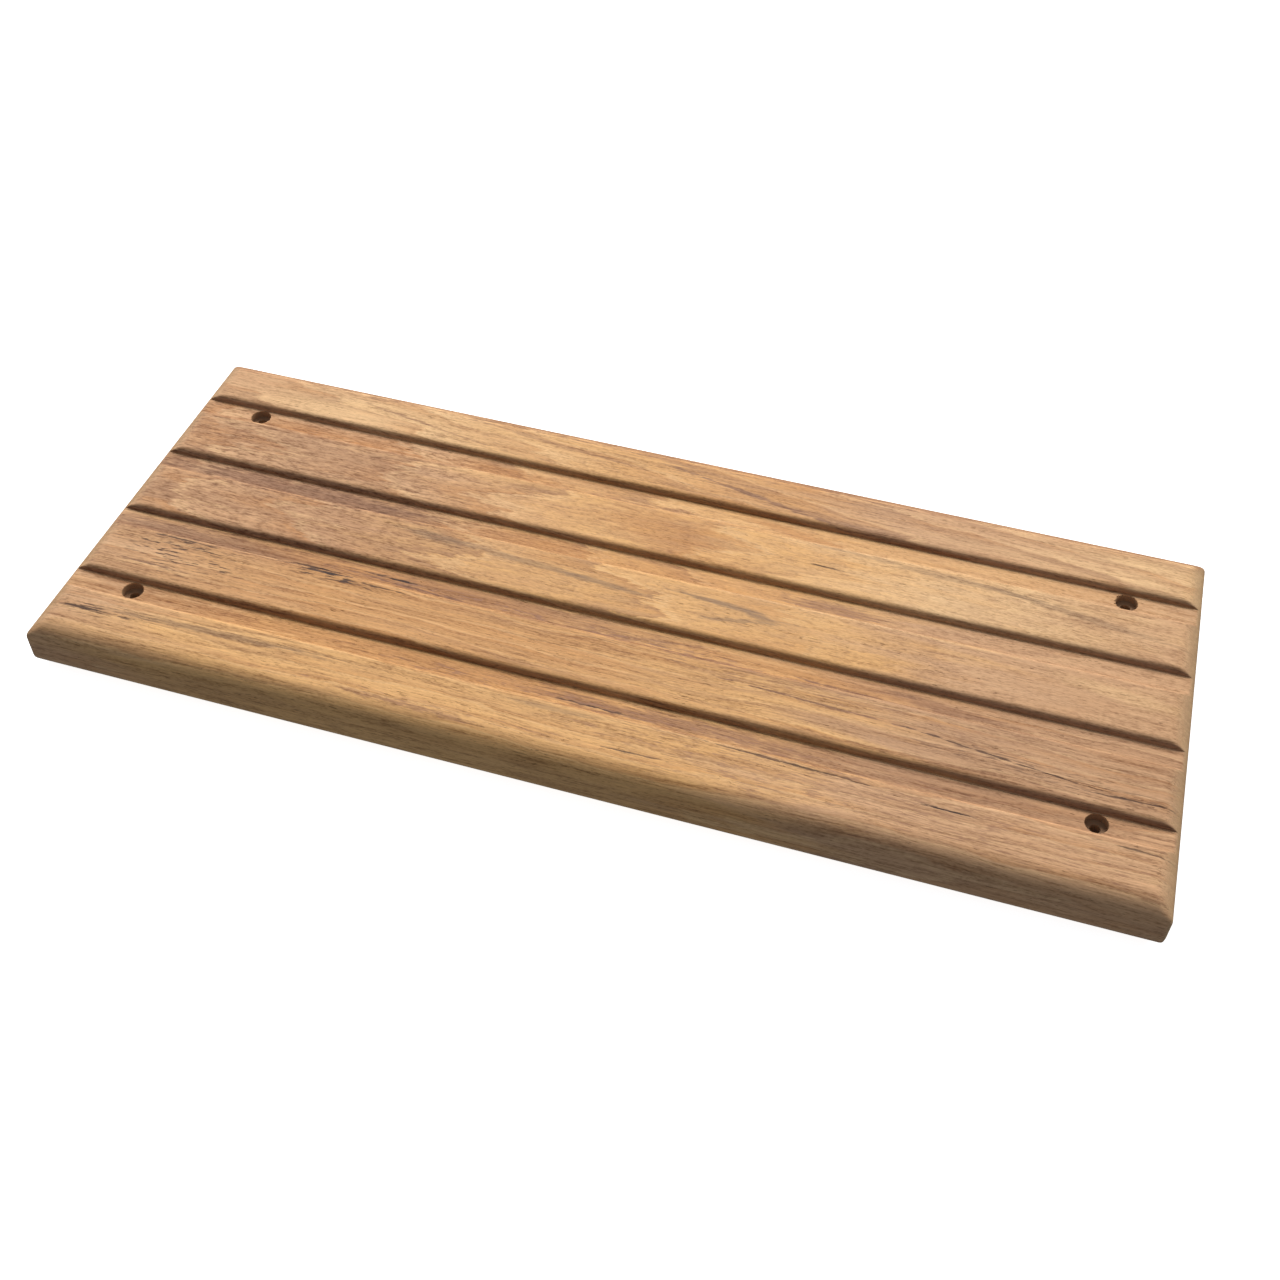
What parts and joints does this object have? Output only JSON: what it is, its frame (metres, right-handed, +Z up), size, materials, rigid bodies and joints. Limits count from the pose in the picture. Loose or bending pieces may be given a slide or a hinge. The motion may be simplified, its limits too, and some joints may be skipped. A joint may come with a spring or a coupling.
{
  "type": "grooved teak board",
  "caption": "Flat rectangular teak board for wet feet: raised ribs, lengthwise drainage grooves, rounded edges and counterbored screw holes near its corners.",
  "frame": {"origin": "centre of the underside, which lies on Z = 0", "axes": "+X along the board, +Y across it towards the rear stave, +Z up out of the grooved face"},
  "size_m": [0.484, 0.1978, 0.0222],
  "materials": {
    "teak_rear": "satin, oiled",
    "teak_rear_inner": "satin, oiled",
    "teak_centre": "satin, oiled",
    "teak_front_inner": "satin, oiled",
    "teak_front": "satin, oiled"
  },
  "bodies": {
    "root": {"rear_stave": "teak_rear", "rear_inner_stave": "teak_rear_inner", "centre_stave": "teak_centre", "front_inner_stave": "teak_front_inner", "front_stave": "teak_front"}
  },
  "joints": []
}
